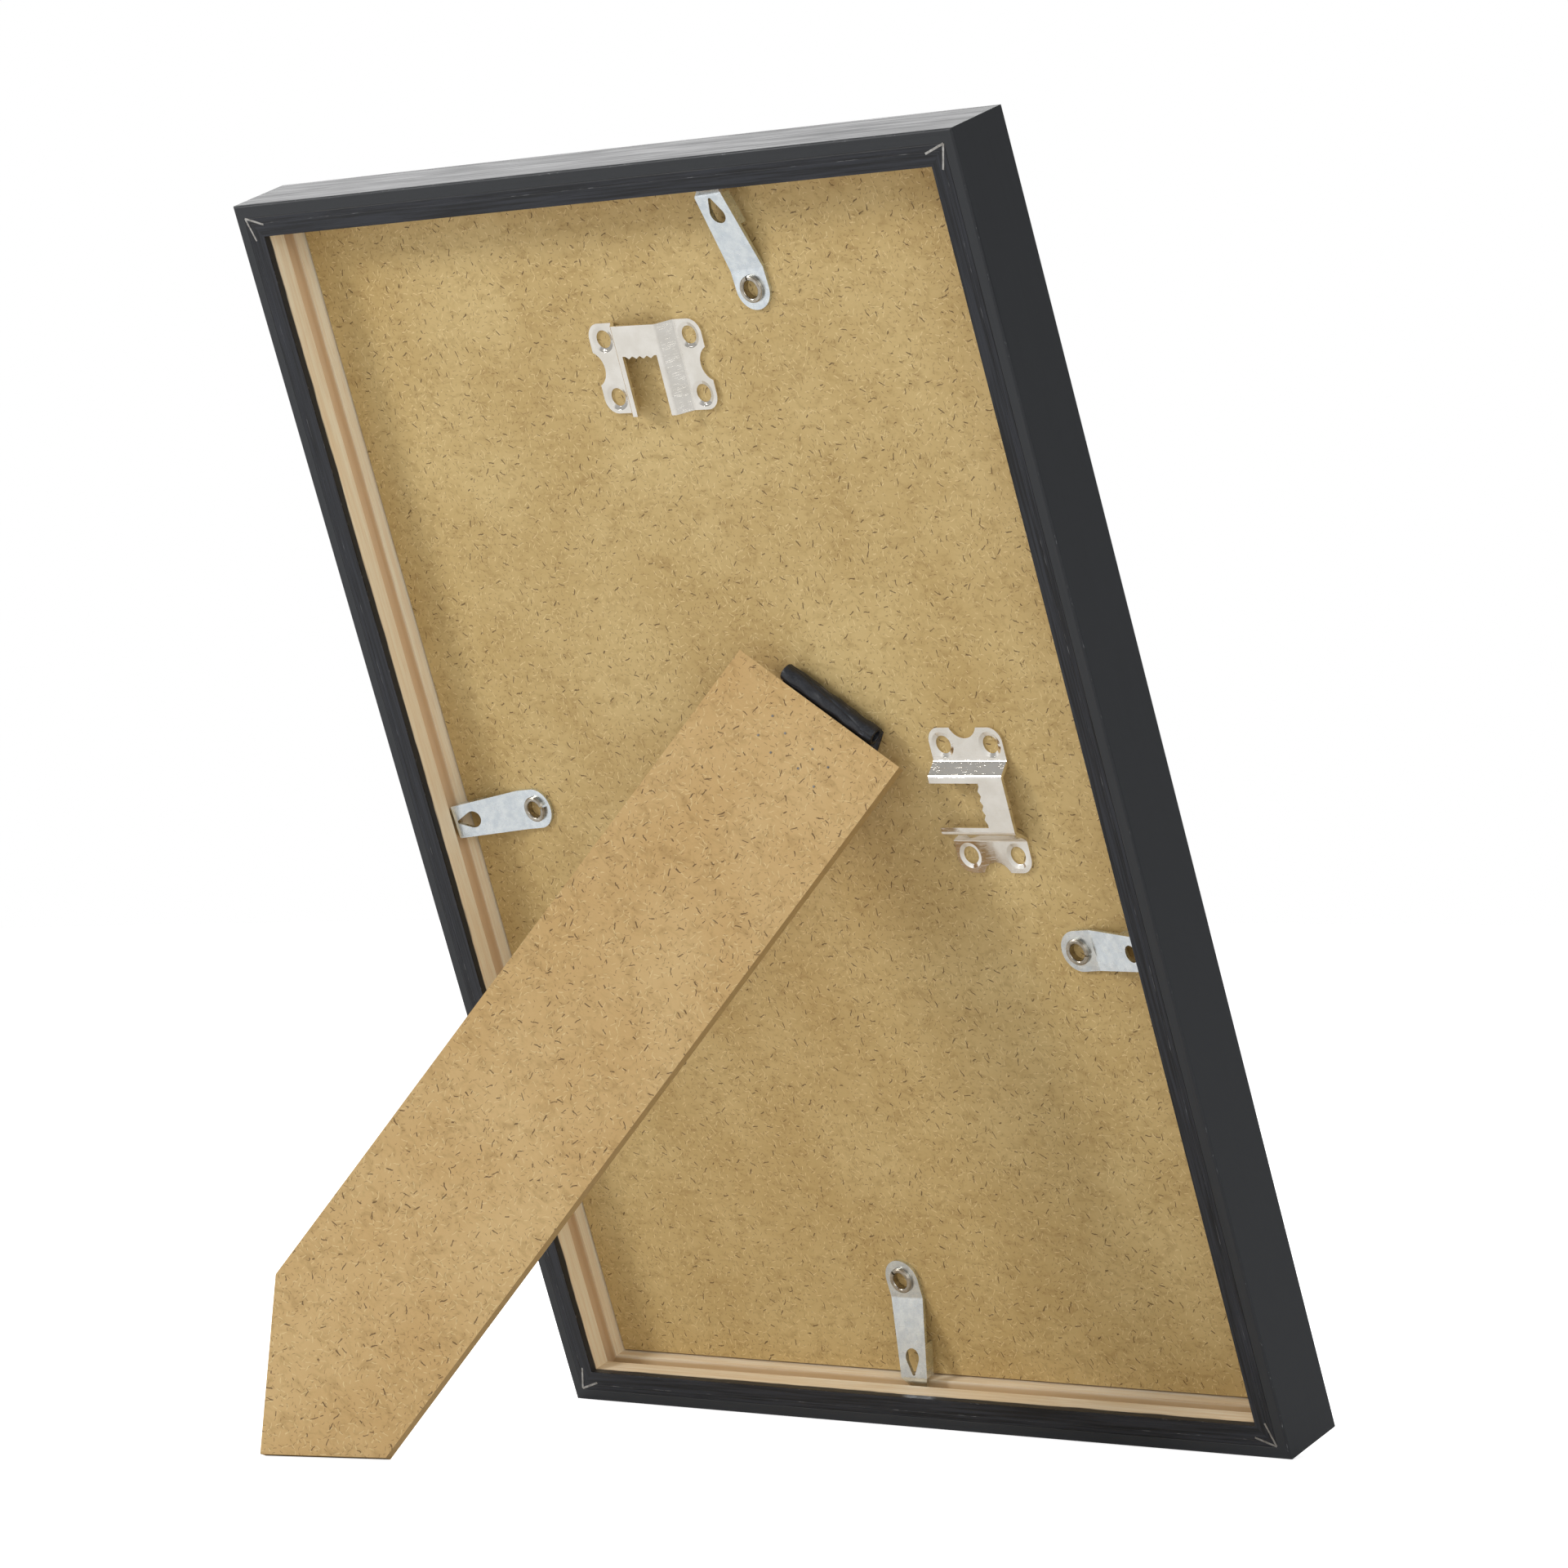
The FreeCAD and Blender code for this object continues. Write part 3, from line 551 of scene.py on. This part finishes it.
def clear_sheet():
    """Clear acrylic: transparent, slightly rippled."""
    material, net, shader = new_material("clear glazing")
    place = own_coords(net, BACK_TURN, BACK_ORIGIN)
    shader.inputs["Base Color"].default_value = (0.96, 0.98, 0.98, 1.0)
    shader.inputs["Transmission Weight"].default_value = 1.0
    shader.inputs["IOR"].default_value = 1.49
    ripple = net.noise(place, 12.0, 2.0)
    net.feed(shader.inputs["Roughness"], net.step(ripple, 0.3, 0.7, 0.01, 0.03))
    return material


def insert_paper():
    """A plain off-white insert sheet with a faint paper tooth."""
    material, net, shader = new_material("plain insert")
    place = own_coords(net, BACK_TURN, BACK_ORIGIN)
    tooth = net.noise(place, 1500.0, 5.0, 0.7)
    net.feed(shader.inputs["Base Color"], net.mix(tooth, srgb(236, 233, 224), srgb(244, 242, 235)))
    shader.inputs["Roughness"].default_value = 0.85
    net.feed(shader.inputs["Normal"], net.bump(tooth, 0.03 * MM, 0.5))
    return material


def dress(node, material):
    """Gives a CAD node its material."""
    mesh = NODES[node].data
    mesh.materials.clear()
    mesh.materials.append(material)


def rail_axes(across, along):
    """A rail's own axes, from its ways across and along in the back view."""
    first = BACK_TURN @ Vector(across)
    second = BACK_TURN @ Vector(along)
    return Matrix((first, second, first.cross(second))).transposed()


def back_point(x, y, z):
    """A point of the back view, in the world."""
    return BACK_ORIGIN + BACK_TURN @ Vector((x, y, z))


def dress_rails():
    """Each rail gets the moulding in its own axes, so the grain runs along it."""
    places = {
        "rail_left": ((1, 0, 0), (0, 1, 0), (-HALF_W, 0, 0)),
        "rail_right": ((-1, 0, 0), (0, -1, 0), (HALF_W, FRAME_H, 0)),
        "rail_bottom": ((0, 1, 0), (-1, 0, 0), (HALF_W, 0, 0)),
        "rail_top": ((0, -1, 0), (1, 0, 0), (-HALF_W, FRAME_H, 0)),
    }
    for node, (across, along, start) in places.items():
        # Each rail's raw wood tones carry its painted light, and the third tone is also painted groove shade.
        tones = dict(zip(("Pale", "Deep", "PoresAndShade"), RAW_WOOD_WITH_PAINTED_LIGHT[node]))
        axes = rail_axes(across, along)
        dress(node, finished(node + " moulding", MOULDING, axes, back_point(*start), 0.32, 0.0, **tones))


def dress_boards():
    """The backing board and the leg, with their sawn edges between their faces."""
    hardboard = finished("backing fibreboard", FIBREBOARD, BACK_TURN, back_point(0, 0, 0), 0.35, 0.0,
                         Low_Face=-RAIL_DEPTH, High_Face=BOARD_FACE - BOARD_SKIN, **BOARD_TONES)
    dress("backing_board", hardboard)
    leg_face = LEG_INNER - BOARD_SKIN
    leg_board = finished("leg fibreboard", FIBREBOARD, LEG_TURN, HINGE_AT, 0.35, 0.0,
                         Low_Face=-leg_face, High_Face=leg_face, **LEG_TONES)
    dress("easel_leg", leg_board)


def dress_metals():
    """Zinc clips, nickel hangers and eyelets, and plain steel nails and staples."""
    zinc = plated("bright zinc", srgb(234, 240, 242), srgb(214, 222, 228), 0.2, 0.32, 500.0)
    nickel = plated("bright nickel", srgb(240, 236, 228), srgb(228, 223, 213), 0.07, 0.14, 160.0)
    rivet = plated("eyelet nickel", srgb(196, 190, 178), srgb(158, 150, 136), 0.2, 0.36, 700.0)
    steel = plated("plain steel", srgb(190, 188, 184), srgb(140, 136, 130), 0.3, 0.5, 900.0)
    for side in ("top", "left", "right", "bottom"):
        dress("turn_clip_" + side, zinc)
        dress("clip_eyelet_" + side, rivet)
    for hanger in ("portrait", "landscape"):
        dress("sawtooth_hanger_" + hanger, nickel)
    for fastener in ("corner_v_nails", "strap_leg_staples", "strap_board_staples"):
        dress(fastener, steel)


# Modelled pieces


def bent_sheet(name, points, material, thickness):
    """A sheet from a grid of points, rows by columns, made solid about its middle."""
    rows, columns, _ = points.shape
    index = np.arange(rows * columns).reshape(rows, columns)
    corners = [index[:-1, :-1], index[:-1, 1:], index[1:, 1:], index[1:, :-1]]
    faces = np.stack(corners, axis=-1).reshape(-1, 4)
    mesh = bpy.data.meshes.new(name)
    mesh.from_pydata(points.reshape(-1, 3).tolist(), [], faces.tolist())
    mesh.materials.append(material)
    mesh.polygons.foreach_set("use_smooth", np.ones(len(mesh.polygons), bool))
    mesh.update()
    piece = bpy.data.objects.new(name, mesh)
    bpy.context.scene.collection.objects.link(piece)
    solid = piece.modifiers.new("thickness", "SOLIDIFY")
    solid.thickness = thickness
    solid.offset = 0.0
    return piece


def strap_roll(material):
    """The leg's half of the strap: a flap on the leg's inner face that ends in an open roll.

    The path is a straight run at the flap's height and then an arc of a little under a full turn
    about the hinge axis. Across the strap the radius swells and sinks by a sum of sines, which
    gives the roll its dents, and one crease runs slantwise along it.
    """
    middle = ROLL_RADIUS - STRAP_THICK / 2
    flap_at = -(LEG_INNER + STRAP_THICK / 2)
    straight = np.linspace(-STRAP_LENGTH, -0.4 * MM, RUN_POINTS)
    turn = np.radians(np.linspace(*ROLL_TURNS_DEG, ROLL_POINTS))
    along = np.linspace(-STRAP_WIDTH / 2, STRAP_WIDTH / 2, WIDTH_POINTS)
    a, t = np.meshgrid(along, turn, indexing="ij")
    wave = 0.10 * np.sin(a * 620 + 1.1 * t) + 0.07 * np.sin(a * 1130 - 2.1 * t + 0.8)
    crease = -0.16 * np.exp(-((t - 1.2 - 60 * a) / 0.16) ** 2)
    radius = middle + (wave + crease) * MM - 0.12 * MM * np.sin(t * 0.5) ** 2
    roll = np.stack([a, radius * np.cos(t), radius * np.sin(t)], axis=-1)
    b, s = np.meshgrid(along, straight, indexing="ij")
    flap = np.stack([b, s, np.full_like(b, flap_at)], axis=-1)
    points = np.concatenate([flap, roll], axis=1)
    piece = bent_sheet("strap_roll", to_world(points, LEG_TURN, HINGE_AT), material, STRAP_THICK)
    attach(piece, "easel")
    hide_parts("strap_leg_flap")


def strap_root(material):
    """The board's half of the strap: flat on the board under the leg, in shallow slanting waves.

    Its height above the board is a small sine of the place across plus the place along.
    """
    low = -AXIS_HEIGHT + STRAP_THICK / 2
    along = np.linspace(-STRAP_WIDTH / 2, STRAP_WIDTH / 2, FLAP_POINTS)
    path = np.linspace(-STRAP_LENGTH, 0.0, FLAP_POINTS)
    a, s = np.meshgrid(along, path, indexing="ij")
    ripple = 0.035 * MM * (1 + np.sin(a * 500 + s * 300))
    points = np.stack([a, s, low + ripple], axis=-1)
    placed = to_world(points, FLAT_TURN, HINGE_AT)
    piece = bent_sheet("strap_root", placed, material, STRAP_THICK * 0.8)
    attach(piece, "frame")
    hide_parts("strap_board_flap")


# Stage

SQUARE = ((-1, -1), (1, -1), (1, 1), (-1, 1))


def floor_and_world():
    """A white floor that keeps the shadow, and a world that only the camera sees as pure white."""
    corners = [(x * FLOOR_HALF, y * FLOOR_HALF, 0) for x, y in SQUARE]
    mesh = bpy.data.meshes.new("floor")
    mesh.from_pydata(corners, [], [(0, 1, 2, 3)])
    floor = bpy.data.objects.new("floor", mesh)
    bpy.context.scene.collection.objects.link(floor)
    material, net, shader = new_material("white floor")
    shader.inputs["Base Color"].default_value = (0.9, 0.9, 0.9, 1.0)
    shader.inputs["Roughness"].default_value = 0.9
    path = net.add("ShaderNodeLightPath")
    seen = net.math("MAXIMUM", path.outputs["Is Camera Ray"], path.outputs["Is Transmission Ray"])
    shader.inputs["Emission Color"].default_value = (1.0, 1.0, 1.0, 1.0)
    net.feed(shader.inputs["Emission Strength"], net.times(seen, FLOOR_GLOW))
    mesh.materials.append(material)
    world = bpy.data.worlds.new("white room")
    bpy.context.scene.world = world
    world.use_nodes = True
    sky = Wiring(world.node_tree)
    ground = world.node_tree.nodes["Background"]
    ground.inputs["Color"].default_value = (1.0, 1.0, 1.0, 1.0)
    path = sky.add("ShaderNodeLightPath")
    seen = sky.math("MAXIMUM", path.outputs["Is Camera Ray"], path.outputs["Is Transmission Ray"])
    sky.feed(ground.inputs["Strength"], sky.math("MULTIPLY_ADD", seen, 1.0 - ROOM_LIGHT, ROOM_LIGHT))


def soft_lamp(name, place, target, size, power):
    """A square lamp that faces a point."""
    light = bpy.data.lights.new(name, "AREA")
    light.size = size
    light.energy = power
    lamp = bpy.data.objects.new(name, light)
    lamp.location = place
    lamp.rotation_euler = (Vector(target) - Vector(place)).to_track_quat("-Z", "Y").to_euler()
    bpy.context.scene.collection.objects.link(lamp)


def dark_card(name, place, size):
    """A black card that only reflections see: it gives the bright metal its dark bands."""
    wide, high = size
    facing = (Vector(AIM) - Vector(place)).to_track_quat("Z", "Y").to_matrix()
    corners = [facing @ Vector((x * wide / 2, y * high / 2, 0)) + Vector(place) for x, y in SQUARE]
    mesh = bpy.data.meshes.new(name)
    mesh.from_pydata([tuple(corner) for corner in corners], [], [(0, 1, 2, 3)])
    card = bpy.data.objects.new(name, mesh)
    bpy.context.scene.collection.objects.link(card)
    material, net, shader = new_material(name + " black")
    shader.inputs["Base Color"].default_value = (0.01, 0.01, 0.01, 1.0)
    shader.inputs["Roughness"].default_value = 1.0
    shader.inputs["Specular IOR Level"].default_value = 0.0
    mesh.materials.append(material)
    card.visible_camera = False
    card.visible_diffuse = False
    card.visible_shadow = False
    card.visible_transmission = False


def camera():
    """The photograph's camera, at its fitted place and turn."""
    edge = back_point(0, 0, 0)
    yaw, pitch, roll = (math.radians(v) for v in (CAMERA_YAW, CAMERA_PITCH, CAMERA_ROLL))
    level = math.cos(pitch)
    forward = Vector((math.sin(yaw) * level, math.cos(yaw) * level, math.sin(pitch)))
    right = forward.cross(Vector((0, 0, 1))).normalized()
    up = right.cross(forward)
    side = right * math.cos(roll) + up * math.sin(roll)
    head = -right * math.sin(roll) + up * math.cos(roll)
    data = bpy.data.cameras.new("camera")
    data.lens = CAMERA_LENS
    data.sensor_width = SENSOR
    data.clip_start = 0.01
    eye = bpy.data.objects.new("camera", data)
    turned = Matrix((side, head, -forward)).transposed().to_4x4()
    eye.matrix_world = Matrix.Translation(CAMERA_FROM_EDGE + edge) @ turned
    bpy.context.scene.collection.objects.link(eye)
    bpy.context.scene.camera = eye


dress_rails()
dress_boards()
dress_metals()
dress("glazing", clear_sheet())
dress("insert_sheet", insert_paper())
strap = coated_strap()
strap_roll(strap)
strap_root(strap)

camera()
floor_and_world()
for card_name, card in CARDS.items():
    dark_card(card_name, *card)
for lamp_name, lamp_row in LAMPS.items():
    soft_lamp(lamp_name, *lamp_row)
bpy.context.scene.view_settings.view_transform = "Standard"
